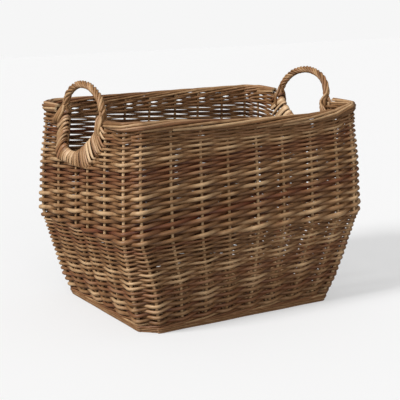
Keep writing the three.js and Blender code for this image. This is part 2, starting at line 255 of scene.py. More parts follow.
def smooth_path(points, steps):
    """A Catmull-Rom curve through the points, with so many steps from each to the next."""
    points = np.asarray(points, float)
    padded = np.vstack([2 * points[0] - points[1], points, 2 * points[-1] - points[-2]])
    t = np.arange(steps)[None, :, None] / steps
    a, b, c, d = (padded[k : len(points) - 1 + k][:, None] for k in range(4))
    curve = b + t * (c - a) / 2 + t**2 * (a - 2.5 * b + 2 * c - d / 2) + t**3 * (1.5 * (b - c) + (d - a) / 2)
    return np.vstack([curve.reshape(-1, points.shape[1]), points[-1]])


def smoothed(points, ways, steps):
    """A rod's smooth path and its ways through, from a few points with a way at each."""
    return smooth_path(points, steps), unit(smooth_path(ways, steps))


def distances(path):
    """How far along the path each of its points lies."""
    return np.concatenate([[0], np.cumsum(np.linalg.norm(np.diff(path, axis=0), axis=1))])


def along_line(line, stations, places):
    """The line's points at some places, where the stations are the places of its own points."""
    return np.stack([np.interp(places, stations, column) for column in line.T], -1)


print("points on a smooth path:", len(smooth_path(np.eye(3), 4)))

# %% [markdown]
# ## A rod as data
#
# Before it becomes a mesh, a rod is only a few arrays. That makes it easy to cut: where a rod meets a
# hand hole, the arrays are cut into stretches, and each stretch is a rod again.

# %% Rods as data
SHORTEST_STRETCH = 3


def rod(path, width, thickness, through, tone=0.5, red=0.0, start=0.0):
    """One rod: its path, its size across and through, and the direction that its thickness runs in."""
    count = len(path)
    spread = [np.broadcast_to(np.asarray(value, float), count) for value in (width, thickness, tone, red)]
    through = np.broadcast_to(np.asarray(through, float), (count, 3))
    return {"path": np.asarray(path), "sizes": spread, "through": through, "start": start}


def cut_rod(whole, keep):
    """The stretches of a rod where keep is true, each as a rod of its own."""
    edges = np.flatnonzero(np.diff(np.concatenate([[False], keep, [False]]).astype(int)))
    stretches = []
    for first, last in zip(edges[::2], edges[1::2]):
        if last - first >= SHORTEST_STRETCH:
            part = {**whole, "path": whole["path"][first:last], "through": whole["through"][first:last]}
            part["sizes"] = [value[first:last] for value in whole["sizes"]]
            stretches.append(part)
    return stretches


# %% [markdown]
# ## No two rods alike
#
# Each rod has a tone of its own, some are redder than others, and each starts at its own place in the
# bark's pattern. One seeded generator draws all of that, so the basket is the same each time.

# %% Bark values
rng = np.random.default_rng(7)
GRAIN_SPREAD = 9.0


def grain_start():
    """Where along the bark's pattern a rod starts, in metres."""
    return rng.uniform(0, GRAIN_SPREAD)


def bark(tones, reds=None):
    """A rod's bark values: a tone between two, and how red it is, drawn with a middle and a spread."""
    tone = rng.uniform(*tones)
    red = max(rng.normal(*reds), 0) if reds else 0.0
    return {"tone": tone, "red": red, "start": grain_start()}


# %% [markdown]
# ## The tube
#
# The tube's rings stand square to the path. Each ring has eight points, which is round enough for a
# rod that is a few pixels thick, and the quads between two rings are numbered in one go with arrays.

# %% Tube
SECTION_SIDES = 8


def tube(one):
    """Points, quads, end caps and bark values of one rod."""
    path, through = one["path"], one["through"]
    width, thickness, tone, red = one["sizes"]
    along = unit(np.gradient(path, axis=0))
    through = unit(through - (through * along).sum(1, keepdims=True) * along)
    across = np.cross(along, through)
    angle = np.arange(SECTION_SIDES) / SECTION_SIDES * 2 * math.pi
    out = np.multiply.outer(thickness / 2, np.cos(angle))
    over = np.multiply.outer(width / 2, np.sin(angle))
    points = path[:, None] + out[..., None] * through[:, None] + over[..., None] * across[:, None]
    length = one["start"] + distances(path)
    grain = np.stack([np.broadcast_to(length[:, None], out.shape), out, over], -1)
    corner = np.arange(SECTION_SIDES)
    after = (corner + 1) % SECTION_SIDES
    below = np.arange(len(path) - 1)[:, None] * SECTION_SIDES
    above = below + SECTION_SIDES
    quads = np.stack([below + corner, below + after, above + after, above + corner], -1)
    caps = np.stack([corner[::-1], (len(path) - 1) * SECTION_SIDES + corner])
    tone, red = (np.repeat(value, SECTION_SIDES) for value in (tone, red))
    values = {"grain": grain.reshape(-1, 3), "tone": tone, "red": red}
    return points.reshape(-1, 3), quads.reshape(-1, 4), caps, values


# %% [markdown]
# ## Colours and nodes
#
# Colours are written as sRGB hex values, as a colour picker shows them, and one function turns them
# into the linear values that Blender's sockets want. Another small function adds a node, sets its
# values and links its inputs in one line.

# %% Colour and node helpers


def linear(hex_colour):
    """An sRGB hex value such as #8A6A4C as a linear RGBA tuple."""
    channels = [int(hex_colour[place : place + 2], 16) / 255 for place in (1, 3, 5)]
    return (*[c / 12.92 if c <= 0.04045 else ((c + 0.055) / 1.055) ** 2.4 for c in channels], 1.0)


def add_node(tree, kind, inputs=None, **settings):
    """Adds a node. An input's value is a plain value or another node's output socket."""
    node = tree.nodes.new(kind)
    for name, value in settings.items():
        setattr(node, name, value)
    for name, value in (inputs or {}).items():
        if isinstance(value, bpy.types.NodeSocket):
            tree.links.new(value, node.inputs[name])
        else:
            node.inputs[name].default_value = value
    return node


def new_material(name):
    material = bpy.data.materials.new(name)
    material.use_nodes = True
    tree = material.node_tree
    tree.nodes.clear()
    return material, tree


# %% [markdown]
# ## Willow
#
# Brown willow is dried with its bark on. The bark is thin, smooth and slightly waxy. It varies from
# rod to rod between olive tan and red brown, has fine streaks along the rod every millimetre or so,
# and paler and darker stretches some centimetres long. The patterns are drawn in
# the rod's own space, so that they run along each rod wherever it bends. The wax gives bark a soft
# sheen, so it is half rough. Split willow, which the hand holes are bound with, shows the pale wood
# with a smoother face, and a cut end shows the wood as the knife left it, which is the roughest.

# %% Willow materials
STREAK_WIDTH = 1.1 * MM
STREAK_LENGTH = 45 * MM
MOTTLE_SIZE = 22 * MM
BARK_BUMP = 0.25 * MM
BUMP_STRENGTH = 0.6
WILLOW_IOR = 1.45
# How much a rod's own tone, its streaks and its mottles add to its shade.
TONE_SHARE = 0.55
STREAK_SHARE = 0.45
MOTTLE_SHARE = 0.4
# The shades at which the bark is dark, middling and light.
DARK_SHADE, MIDDLE_SHADE, LIGHT_SHADE = 0.38, 0.68, 0.98


def willow(name, dark, middle, light, red, roughness):
    material, tree = new_material(name)
    # The tone attribute also carries the painted shade that the randing puts where a rod passes behind a
    # stake.
    grain, tone, own_red = (
        add_node(tree, "ShaderNodeAttribute", attribute_name=value) for value in ("grain", "tone", "red")
    )
    grain_size = (1 / STREAK_LENGTH, 1 / STREAK_WIDTH, 1 / STREAK_WIDTH)
    stretched = add_node(tree, "ShaderNodeVectorMath",
                         {0: grain.outputs["Vector"], 1: grain_size}, operation="MULTIPLY")
    streaks = add_node(tree, "ShaderNodeTexNoise",
                       {"Vector": stretched.outputs[0], "Scale": 1.0, "Detail": 3.0})
    mottles = add_node(tree, "ShaderNodeTexNoise",
                       {"Vector": grain.outputs["Vector"], "Scale": 1 / MOTTLE_SIZE, "Detail": 2.0})
    shade = 0.0
    for part, share in ((tone, TONE_SHARE), (streaks, STREAK_SHARE), (mottles, MOTTLE_SHARE)):
        added = add_node(tree, "ShaderNodeMath", {0: part.outputs["Fac"], 1: share, 2: shade},
                         operation="MULTIPLY_ADD")
        shade = added.outputs[0]
    ramp = add_node(tree, "ShaderNodeValToRGB", {"Fac": shade})
    first, last = ramp.color_ramp.elements
    first.position, first.color = DARK_SHADE, linear(dark)
    last.position, last.color = LIGHT_SHADE, linear(light)
    ramp.color_ramp.elements.new(MIDDLE_SHADE).color = linear(middle)
    red_share = add_node(tree, "ShaderNodeMath",
                         {0: mottles.outputs["Fac"], 1: own_red.outputs["Fac"]}, operation="MULTIPLY")
    reddened = add_node(tree, "ShaderNodeMix",
                        {"Factor": red_share.outputs[0], "A": ramp.outputs["Color"], "B": linear(red)},
                        data_type="RGBA")
    bump = add_node(tree, "ShaderNodeBump",
                    {"Height": streaks.outputs["Fac"], "Strength": BUMP_STRENGTH, "Distance": BARK_BUMP})
    surface = add_node(tree, "ShaderNodeBsdfPrincipled",
                       {"Base Color": reddened.outputs["Result"], "Roughness": roughness,
                        "Normal": bump.outputs["Normal"], "IOR": WILLOW_IOR})
    add_node(tree, "ShaderNodeOutputMaterial", {"Surface": surface.outputs[0]})
    return material


BROWN_WILLOW = willow("brown_willow_bark", "#3A1C08", "#8C6540", "#CFAC82", "#6C2E18", 0.5)
ROPING_WILLOW = willow("twisted_willow_rod", "#5A3414", "#9A724A", "#CDA97E", "#7E462A", 0.5)
SPLIT_WILLOW = willow("split_willow_skein", "#52290E", "#A27A52", "#DAB890", "#85492F", 0.45)
CUT_WILLOW = willow("cut_willow_wood", "#A98860", "#C9AA7F", "#E0C8A2", "#A98860", 0.7)
print("willow materials:", [material.name for material in bpy.data.materials])

# %% [markdown]
# ## Pieces
#
# All the rods of one part of the basket are joined into one object. It rides on the basket's body,
# and the solids of the frame that it stands for are hidden. Its mesh keeps the bark's values as point
# attributes, which the material reads, and its rods' flat ends show cut wood.

# %% Pieces
POINT_VALUES = [("grain", "FLOAT_VECTOR", "vector"), ("tone", "FLOAT", "value"), ("red", "FLOAT", "value")]


def piece(name, rods, material, slot, *nodes):
    """One object made of rods, which rides on the basket and stands for its nodes."""
    points, quads, caps, values = zip(*map(tube, rods))
    firsts = np.cumsum([0] + [len(own) for own in points[:-1]])
    faces, ends = (
        np.concatenate([own + first for own, first in zip(part, firsts)]).tolist() for part in (quads, caps)
    )
    mesh = bpy.data.meshes.new(name)
    mesh.from_pydata(np.concatenate(points).tolist(), [], faces + ends)
    mesh.polygons.foreach_set("use_smooth", [True] * len(faces) + [False] * len(ends))
    mesh.polygons.foreach_set("material_index", [0] * len(faces) + [1] * len(ends))
    for value_name, kind, field in POINT_VALUES:
        own_values = mesh.attributes.new(value_name, kind, "POINT")
        own_values.data.foreach_set(field, np.concatenate([one[value_name] for one in values]).ravel())
    mesh.materials.append(material)
    mesh.materials.append(CUT_WILLOW)
    mesh.update()
    made = bpy.data.objects.new(name, mesh)
    scene.collection.objects.link(made)
    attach(made, "root")
    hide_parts(*nodes)
    print(f"{name}: {len(rods)} rods, {len(faces)} faces")


# %% [markdown]
# ## Stakes, one by one
#
# Each stake is a piece of its own. Its foot lies in the base mat, it bends up just inside the foot
# wale, follows the leaning wall and ends inside the border. The two stakes under each hand hole end
# in its bound edge. A willow rod tapers, so the stake is thicker at its foot.

# %% Stakes
STAKE_FOOT_DIAMETER = 7.5 * MM
STAKE_TOP_DIAMETER = 6.2 * MM
STAKE_FOOT_REACH = 42 * MM
STAKE_FOOT_HEIGHT = 8 * MM
STAKE_BEND = 9 * MM
STAKE_STEP = 12 * MM

for index, (side, share, node) in enumerate(ring):
    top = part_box(node)[1].z
    rises = np.arange(STAKE_FOOT_HEIGHT + STAKE_BEND, top, STAKE_STEP)
    bend = [(0, STAKE_FOOT_REACH - STAKE_INSET), (0, 2 * STAKE_BEND), (0, STAKE_BEND),
            (STAKE_BEND / 3, STAKE_BEND / 3)]
    feet = [on_side(side, share, STAKE_FOOT_HEIGHT + up, STAKE_INSET + into) for up, into in bend]
    upright = on_side(side, share, np.append(rises, top), STAKE_INSET)
    path = smooth_path(np.vstack([feet, upright]), 2)
    taper = np.linspace(STAKE_FOOT_DIAMETER, STAKE_TOP_DIAMETER, len(path))
    tangent_way = np.cross(outward(index), (0, 0, 1))
    # The stakes get a lighter tone than the woven rods, as painted light, so that they show bright between
    # the strokes where the light would catch them.
    stake = rod(path, taper, taper, tangent_way, **bark((0.6, 1.0)))
    piece(f"willow_{node}", [stake], BROWN_WILLOW, "stake_willow", node)

# %% [markdown]
# ## French randing
#
# In French randing there is one rod for each space between stakes, all woven at once. Each passes in
# front of a stake, behind the next, in front again, and climbs half a pitch per space, so that it
# runs once round the basket and from the bottom of its band to the top. A rod is thick at its butt
# and thin at its tip, so the rounds are wide at the start of a band and get closer towards its end.
# That is why the weave changes suddenly at the belly: the lower band's tips meet the upper band's
# butts.
#
# A rod's path needs only two points per space: one at the stake, pushed out of the wall or into it,
# and one midway, in the middle of the wall. A smooth curve through them gives the bulging strokes.

# %% Woven places
SAMPLES_PER_HALF_SPACE = 4
# A woven rod is pressed a little flat, and it beds a little into the stake that it passes.
FLATNESS = 0.82
STAKE_SQUEEZE = 0.95


def woven(before, after, z, side, offset):
    """A place on a woven rod, at a stake or midway between two, and the way out of the wall there."""
    middle = (stake_at(before, z) + stake_at(after, z)) / 2
    way = unit(wall_normal(before, z) + wall_normal(after, z))
    return middle + side * offset * way, way


def weave(places):
    """The smooth path and the ways through of a rod that passes the places one after another."""
    points, ways = zip(*[woven(*place) for place in places])
    return smoothed(points, ways, SAMPLES_PER_HALF_SPACE)


print("a 7 mm rod lies", round(STAKE_SQUEEZE * (STAKE_TOP_DIAMETER / MM + FLATNESS * 7) / 2, 1), "mm out")

# %% [markdown]
# ## A band of randing
#
# A butt is a good deal wider than half the pitch, so the rods press on each other there, and a tip
# hardly is, which leaves the small windows that show near the rim. Both ends of a rod are hidden behind
# a stake. Each rod is painted darker where it passes behind a stake, as painted shade for the shadowed
# inside of the wall and the dark gaps beside the stakes. Hands aren't exact, so heights and widths vary
# a little.

# %% A band of randing
HEIGHT_JITTER = 0.35 * MM
WIDTH_JITTER = 0.07
RANDING_TONES = (0.35, 0.9)
RED_STRENGTHS = (0.5, 1.3)
# Painted shade: how much darker a rod is painted where it passes behind a stake.
INSIDE_PAINTED_SHADE = 0.55


def stakes_apart(one, other):
    """How many stakes lie from one to the other, the shorter way round."""
    half = len(ring) // 2
    return (one - other + half) % len(ring) - half


def randing(bottom, first_pitch, pitch_loss, rounds, butt_share, tip_share, red_rods, keep=None):
    """The rods of one band. The pitch shrinks by pitch_loss in each round. The shares say how wide the
    butts and the tips are, against half the pitch. For each group of red-barked rods, red_rods gives
    the middle stake and the spread in stakes."""
    rods = []
    for start in range(len(ring)):
        steps = np.arange(-2, 4 * rounds + 1) / 2
        turn = steps / 2
        height = bottom + first_pitch * turn - pitch_loss * turn**2 / 2
        pitch = first_pitch - pitch_loss * turn
        jitter = rng.normal(0, HEIGHT_JITTER, len(steps))
        height = np.maximum(height, bottom - first_pitch / 4) + jitter
        share = np.interp(turn, [0, rounds], [butt_share, tip_share])
        width = share * pitch / 2 * rng.normal(1, WIDTH_JITTER)
        bulge = STAKE_SQUEEZE * (STAKE_TOP_DIAMETER + FLATNESS * width) / 2
        places, tones = [], []
        own_tone = rng.uniform(*RANDING_TONES)
        for place, z, offset in zip(start + steps, height, bulge):
            before, after = math.floor(place), math.ceil(place)
            side = 0 if before != after else 1 - 2 * ((before - start) % 2)
            places.append((before, after, z, side, offset))
            # Painted shade for the wall's shadowed inside: the tone drops where the rod passes behind a
            # stake.
            tones.append(own_tone - INSIDE_PAINTED_SHADE * (1 - side) / 2)
        path, through = weave(places)
        sizes, tones = smooth_path(np.stack([width, tones], -1), SAMPLES_PER_HALF_SPACE).T
        red = max(math.exp(-((stakes_apart(start, centre) / spread) ** 2)) for centre, spread in red_rods)
        one = rod(path, sizes, FLATNESS * sizes, through, tone=tones, red=red * rng.uniform(*RED_STRENGTHS),
                  start=grain_start())
        rods.extend(cut_rod(one, keep(path)) if keep else [one])
    return rods


# %% [markdown]
# ## The lower weave
#
# The lower band is woven with fine rods, which start just above the foot wale and end at the belly.
# A few red-barked rods lie together, because rods of one bundle are woven in one after another.

# %% Lower weave
LOWER_RED = [(20, 2.0), (2, 1.5), (27, 1.0)]
LOWER_ROUNDS = 15.5
LOWER_PITCH = 14.4 * MM
LOWER_PITCH_LOSS = 0.37 * MM
LOWER_BOTTOM = FOOT_WALE_TOP + 2.5 * MM
lower_rods = randing(LOWER_BOTTOM, LOWER_PITCH, LOWER_PITCH_LOSS, LOWER_ROUNDS, 1.2, 1.1, LOWER_RED)
piece("lower_randing", lower_rods, BROWN_WILLOW, "weave_willow", "lower_weave")

# %% [markdown]
# ## The hand holes
#
# Each end has a hand hole cut down from the rim. Seen from outside it has an upright left edge, a
# round bottom left corner and a long slanted right edge, and a bound band of about 25 mm runs round
# it. The outlines are a few points, as shares of the hole's half width and depth, with a smooth curve
# through them.

# %% Hole outlines
BINDING_TOP = NECK_HEIGHT + 12 * MM
HOLE_HALF_WIDTH = 80 * MM
HOLE_DEPTH = 90 * MM
HOLE_SHARES = [(1, 0.14), (0.71, 0.43), (0.24, 0.73), (-0.25, 0.95), (-0.62, 1), (-0.95, 0.94),
               (-1.09, 0.78), (-1, 0.48)]
BINDING_HALF_WIDTH = 118 * MM
BINDING_DEPTH = 113 * MM
BINDING_SHARES = [(1, 0.275), (0.85, 0.44), (0.63, 0.63), (0.36, 0.91), (-0.08, 1), (-0.5, 1), (-0.85, 0.97),
                  (-0.94, 0.84), (-0.92, 0.6)]
OUTLINE_POINTS = 240


def outline(shares, half_width, depth):
    """Evenly spaced points (across, height) from the outline's top right to its top left."""
    points = np.array([(across * half_width, BINDING_TOP - down * depth) for across, down in shares])
    curve = np.vstack([[points[0, 0], BINDING_TOP], smooth_path(points, 12), [points[-1, 0], BINDING_TOP]])
    length = distances(curve)
    return along_line(curve, length, np.linspace(0, length[-1], OUTLINE_POINTS))


hole_edge = outline(HOLE_SHARES, HOLE_HALF_WIDTH, HOLE_DEPTH)
band_edge = outline(BINDING_SHARES, BINDING_HALF_WIDTH, BINDING_DEPTH)
print("outline of a hand hole in mm:", np.round(np.ptp(hole_edge, axis=0) / MM, 1))

# %% [markdown]
# ## Rods that stop at a hole
#
# The cut runs inside the bound band, and its ends are led well above the rim, so that nothing crosses
# the gap. A point lies inside if a level line from it crosses an odd number of edges.

# %% Cutting at the holes
CUT_SHARE = 0.6
CUT_ABOVE = 100 * MM
cut_line = (1 - CUT_SHARE) * hole_edge + CUT_SHARE * band_edge
cut_line[[0, -1], 1] += CUT_ABOVE


def inside(points, polygon):
    """Which points (across, height) lie inside a closed polygon."""
    x, y = points[:, 0, None], points[:, 1, None]
    x0, y0 = polygon[:, 0], polygon[:, 1]
    x1, y1 = np.roll(x0, -1), np.roll(y0, -1)
    crosses = (y0 > y) != (y1 > y)
    reach = x0 + (y - y0) * (x1 - x0) / np.where(y1 == y0, 1, y1 - y0)
    return (crosses & (x < reach)).sum(1) % 2 == 1


def clear_of_holes(path):
    """Which points of a path keep clear of both hand holes. Both ends look alike from outside."""
    near_end = np.abs(path[:, 0]) > BELLY.x / 2
    across = path[:, 1] * np.sign(path[:, 0])
    return ~(near_end & inside(np.stack([across, path[:, 2]], -1), cut_line))


print("clear in the hole's middle:", clear_of_holes(np.array([[BELLY.x, 0, BINDING_TOP]])))

# %% [markdown]
# ## The upper weave
#
# The upper band is woven with thicker rods, and it stops at the hand holes.

# %% Upper weave
UPPER_RED = [(12, 2.5), (27.5, 2.0)]
UPPER_PITCH = 16.9 * MM
UPPER_PITCH_LOSS = 0.44 * MM
UPPER_ROUNDS = 15.5
FIRST_UPPER_ROW = UPPER_BOTTOM + 4 * MM
upper_rods = randing(FIRST_UPPER_ROW, UPPER_PITCH, UPPER_PITCH_LOSS, UPPER_ROUNDS, 1.18, 1.03, UPPER_RED,
                     clear_of_holes)
piece("upper_randing", upper_rods, BROWN_WILLOW, "weave_willow", "upper_weave")

# %% [markdown]
# ## Waling
#
# The foot starts with a wale of three rods that are woven at once. Each passes in front of two stakes
# and behind one, so at every stake two lie in front, one on the other. The top is finished with pairs
# of rods, of which each passes in front of one stake and behind the next. A round runs level, and
# steps up to the next one at the right end, under the hand hole. Where two rods cross between stakes,
# the one that goes in passes over the one that comes out.

# %% Waling
FIRST_WALE_STAKE = 11
STACK_SHARE = 0.85
WALE_JITTER = 0.25 * MM
# How far a crossing rod is lifted, as a share of its size, for a group of two or three rods.
CROSSING_LIFT = {2: 0.5, 3: 0.3}


def waling(bottom, rod_size, group, round_height, rounds, keep=None):
    """A group of two or three rods that are woven at once."""
    rods = []
    count = len(ring)
    steps = np.arange(2 * count * rounds + 1) / 2
    rises = [STACK_SHARE * place for place in range(group - 1)] + [STACK_SHARE * (group - 2) / 2]
    offset = STAKE_SQUEEZE * (STAKE_FOOT_DIAMETER + FLATNESS * rod_size) / 2
    for start in range(group):
        places = []
        for step in steps:
            before, after = math.floor(step), math.ceil(step)
            behind_before, behind_after = (place % group == group - 1 for place in (before, after))
            lift = (behind_after - behind_before) * CROSSING_LIFT[group]
            rise = (rises[before % group] + rises[after % group]) / 2 + lift
            climb = min(step // count + max(step % count - count + 1, 0), rounds - 1)
            z = bottom + rod_size * (0.5 + rise) + round_height * climb + rng.normal(0, WALE_JITTER)
            side = -1 if step in (steps[0], steps[-1]) else 1 - behind_before - behind_after
            first = FIRST_WALE_STAKE + start
            places.append((first + before, first + after, max(z, bottom + rod_size / 2), side, offset))
        path, through = weave(places)
        one = rod(path, rod_size, FLATNESS * rod_size, through, **bark((0.2, 0.9), (0, 0.4)))
        rods.extend(cut_rod(one, keep(path)) if keep else [one])
    return rods


# %% [markdown]
# ## The foot
#
# Two rounds of waling lock the bent feet of the stakes. Round their outside run three thin rods, one
# on the other, which give the foot its straight lower edge.

# %% Foot
FOOT_ROD = 5.6 * MM
FOOT_ROUND = 10.6 * MM
FOOT_ROUNDS = 2
FOOT_BOTTOM = 1.4 * MM
EDGE_LEVELS = (0.55, 1.5, 2.45)
EDGE_JITTER = 0.3 * MM
FOOT_EDGE_ROD = 4.8 * MM
FOOT_EDGE_INSET = -1 * MM


def edge_round(height):
    """A thin rod that runs straight round the outside of the foot, from corner to corner."""
    corners = np.array([corner_at(corner % 8, height, FOOT_EDGE_INSET) for corner in range(9)])
    stations = np.concatenate([np.linspace(a, b, 9)[:-1] for a, b in zip(corners[:-1], corners[1:])])
    stations = np.vstack([stations, stations[:2]])
    stations[:, 2] += rng.normal(0, EDGE_JITTER, len(stations))
    stations[:, 2] = np.maximum(stations[:, 2], FOOT_EDGE_ROD / 2)
    path = smooth_path(stations, 2)
    return rod(path, FOOT_EDGE_ROD, FOOT_EDGE_ROD, (0, 0, 1), tone=rng.uniform(0.4, 0.8), red=0.2,
               start=grain_start())


foot_rods = waling(FOOT_BOTTOM, FOOT_ROD, 3, FOOT_ROUND, FOOT_ROUNDS)
foot_rods += [edge_round(FOOT_EDGE_ROD * level) for level in EDGE_LEVELS]
piece("foot_waling", foot_rods, BROWN_WILLOW, "weave_willow", "foot_wale")

# %% [markdown]
# ## The top
#
# Three rounds of paired rods press the randing together under the border. They start a little below
# the band's top, between the last tips, and the hand holes split them into a front and a back half.

# %% Top
TOP_ROD = 6.3 * MM
TOP_ROUND = 9.4 * MM
TOP_ROUNDS = 3
TOP_BOTTOM = UPPER_TOP - 3 * MM
top_rods = waling(TOP_BOTTOM, TOP_ROD, 2, TOP_ROUND, TOP_ROUNDS, clear_of_holes)
for half, sign in (("front", -1), ("back", 1)):
    own = [one for one in top_rods if np.median(one["path"][:, 1]) * sign > 0]
    piece(f"top_waling_{half}", own, BROWN_WILLOW, "weave_willow", f"top_wale_{half}")

# %% [markdown]
# ## The border
#
# The border is laid from long rods, one beside each stake. A rod starts low on the outside, runs to
# the right, climbs slowly over the rim and ends on the inside seven stakes on, so at any place seven
# rods lie round each other like a rope with a very long twist, and the outside shows four or so. The
# bundle is taller than it is wide. Where the front half starts, beside the left hand hole, it is
# lower and flatter, because the first rods have fewer others under them.

# %% Border
BORDER_MIDDLE = (NECK_HEIGHT + BORDER_TOP) / 2 - 2 * MM
BORDER_INSET = 3 * MM
BORDER_HALF_HEIGHT = 9.3 * MM
BORDER_HALF_WIDTH = 7.0 * MM
BORDER_BUTT = 6.4 * MM
BORDER_TIP = 5.2 * MM
BORDER_START_ANGLE = -155
BORDER_TURN_PER_SPACE = 39
BORDER_SPACES = 7
BORDER_STEP = 4 * MM
BORDER_ROUNDING = 3
LOW_START = 4 * MM
FLAT_START = 0.43
LOW_START_SPACES = 2
LOW_START_CURVE = 1.5


def rim_line(half):
    """The middle line of a border half: its points, its way out, the stake number at each point, the
    numbers of its stakes, and how flat the bundle is at each point."""
    corners = [6, 7, 0, 1] if half == "front" else [2, 3, 4, 5]
    sign = -1 if half == "front" else 1
    bends = [corner_at(corner, BORDER_MIDDLE, BORDER_INSET) for corner in corners]
    start, end = ([bend[0], sign * BINDING_HALF_WIDTH, BORDER_MIDDLE] for bend in (bends[0], bends[-1]))
    line = np.array([start, *bends, end])
    length = distances(line)
    even = np.arange(0, length[-1], BORDER_STEP)
    points = along_line(line, length, even)
    kernel = np.ones(BORDER_ROUNDING) / BORDER_ROUNDING
    margin = BORDER_ROUNDING // 2
    padded = np.pad(points, ((margin, margin), (0, 0)), mode="reflect", reflect_type="odd")
    points = np.stack([np.convolve(column, kernel, "valid") for column in padded.T], -1)
    along = unit(np.gradient(points, axis=0))
    out = np.cross(along, (0, 0, 1))
    numbers = range(-2, 11) if half == "front" else range(13, 26)
    places = [on_side(*ring[number % len(ring)][:2], BORDER_MIDDLE, STAKE_INSET) for number in numbers]
    reached = [even[np.argmin(np.linalg.norm(points - place, axis=1))] for place in places]
    stake_number = np.interp(even, reached, numbers)
    lowness = np.clip(-stake_number / LOW_START_SPACES, 0, 1) ** LOW_START_CURVE
    points[:, 2] -= settling(stake_number) + LOW_START * lowness
    return points, out, stake_number, numbers, 1 - FLAT_START * lowness


print("points on the front's rim line:", len(rim_line("front")[0]))

# %% [markdown]
# ## The border's rods
#
# A rod's place in the bundle is an angle, which grows by the same step at each stake that it passes.
# Seen from outside the rods therefore slant upward to the right.

# %% Border rods
ANGLE_JITTER = 5
BORDER_SIZE_JITTER = 0.05
FEWEST_POINTS = 4


def border(half):
    points, out, stake_number, numbers, flatness = rim_line(half)
    rods = []
    for number in range(numbers[0] - BORDER_SPACES, numbers[-1]):
        passed = stake_number - number
        keep = (passed >= 0) & (passed <= BORDER_SPACES)
        if keep.sum() < FEWEST_POINTS:
            continue
        passed = passed[keep]
        angle = np.radians(BORDER_START_ANGLE + BORDER_TURN_PER_SPACE * passed + rng.normal(0, ANGLE_JITTER))
        high = (BORDER_HALF_HEIGHT * flatness[keep] * np.cos(angle))[:, None] * np.array([0, 0, 1])
        wide = -BORDER_HALF_WIDTH * np.sin(angle)[:, None] * out[keep]
        size = np.interp(passed, [0, BORDER_SPACES], [BORDER_BUTT, BORDER_TIP])
        size = size * rng.normal(1, BORDER_SIZE_JITTER)
        place = high + wide
        rods.append(rod(points[keep] + place, size, size, unit(place), **bark((0.2, 0.95), (0, 0.35))))
    return rods


for half in ("front", "back"):
    piece(f"laid_border_{half}", border(half), BROWN_WILLOW, "border_willow", f"border_{half}")

# %% [markdown]
# ## Places on an end
#
# The hand holes and the handles are measured from the middle of their end, as seen from outside.

# %% Places on an end
RIGHT_END, LEFT_END = 1, -1
ENDS = [("right", RIGHT_END), ("left", LEFT_END)]


def on_end(end, across, height, inset):
    """A place on an end wall, by its distance to the right and its height as seen from outside."""
    x = wall_at(height)[0] - inset
    return np.stack([end * x, end * across + 0 * x, height + 0 * x], -1)


def end_way(end, out, across, up):
    """A direction on an end wall, from how far it runs out of the wall, to the right and up."""
    return np.array([end * out, end * across, up], float)


print("right end at the belly:", on_end(RIGHT_END, 0, BELLY_HEIGHT, 0))

# %% [markdown]
# ## The bound edges
#
# The edge of each hand hole is wrapped with split willow, strand beside strand. A strand comes out of
# the weave, runs over the outside to the edge of the hole, turns round it and goes back on the
# inside. On the upright edge the strands hang down outward like a herringbone, and round the bottom
# they spread like a fan, because the outer line is longer than the edge of the hole. The skeins are
# split by hand, so no two are equally wide, and their narrow ends leave dark gaps at the outer line.

# %% Bound edges
BINDING_PROUD = 2 * MM
STRAND_COUNT = 34
STRAND_WIDTH = 9.6 * MM
STRAND_THICKNESS = 3.6 * MM
# The strands hang down by this much beside the upright edge, and by nothing at the hole's bottom.
STRAND_DROP = 20 * MM
UPRIGHT_HEIGHT = 60 * MM
EDGE_RADIUS = 5 * MM
EDGE_ROD = 9 * MM
EDGE_ROD_GAP = 1 * MM


def bound_edge(end):
    rods = []
    for strand in range(STRAND_COUNT):
        share = (strand + 0.5 + rng.uniform(-0.3, 0.3)) / STRAND_COUNT * (OUTLINE_POINTS - 1)
        near, far = (along_line(line, np.arange(OUTLINE_POINTS), share) for line in (hole_edge, band_edge))
        upright = np.clip((near[1] - (BINDING_TOP - HOLE_DEPTH)) / UPRIGHT_HEIGHT, 0, 1)
        far[1] -= STRAND_DROP * upright * rng.uniform(0.8, 1.2)
        way = unit(near - far)
        length = np.linalg.norm(near - far)
        # For each stop: distance from the far line towards the hole, inset, and the way through, as
        # shares out of the wall and towards the hole. The inside mirrors the outside.
        outside = [
            (0, 5 * MM, 1, 0),
            (0.06 * length, -BINDING_PROUD, 1, 0),
            (0.5 * length, -BINDING_PROUD - 0.5 * MM, 1, 0),
            (length - EDGE_RADIUS, 0.5 * MM, 1, 0.5),
        ]
        turn = (length + STRAND_THICKNESS / 4, WALL_THICKNESS / 2, 0, 1)
        mirrored = [(far_by, WALL_THICKNESS - inset, -out, toward) for far_by, inset, out, toward in outside]
        points, ways = [], []
        for distance, inset, out, toward in [*outside, turn, *mirrored[::-1]]:
            points.append(on_end(end, *(far + way * distance), inset))
            ways.append(end_way(end, out, *(toward * way)))
        path, through = smoothed(points, ways, 4)
        narrowing = np.interp(np.linspace(0, 1, len(path)), [0, 0.25, 0.75, 1], [0.5, 1, 1, 0.5])
        width = STRAND_WIDTH * rng.uniform(0.6, 1.2) * narrowing
        thickness = STRAND_THICKNESS * rng.uniform(0.8, 1.2)
        rods.append(rod(path, width, thickness, through, **bark((0.1, 1.1), (0, 0.5))))
    edge = hole_edge[::4]
    core = edge + unit(band_edge[::4] - edge) * (EDGE_ROD / 2 + EDGE_ROD_GAP)
    path = on_end(end, *core.T, WALL_THICKNESS / 2)
    rods.append(rod(path, EDGE_ROD, EDGE_ROD, end_way(end, 1, 0, 0), tone=0.0))
    return rods


for name, end in ENDS:
    piece(f"bound_edge_{name}", bound_edge(end), SPLIT_WILLOW, "binding_willow", f"hole_binding_{name}")

# %% [markdown]
# ## The hoop handles
#
# A handle is a stout bow rod, pushed down into the bound edge at both feet. The right hoop stands a
# little further out than the left one, and leans outward.

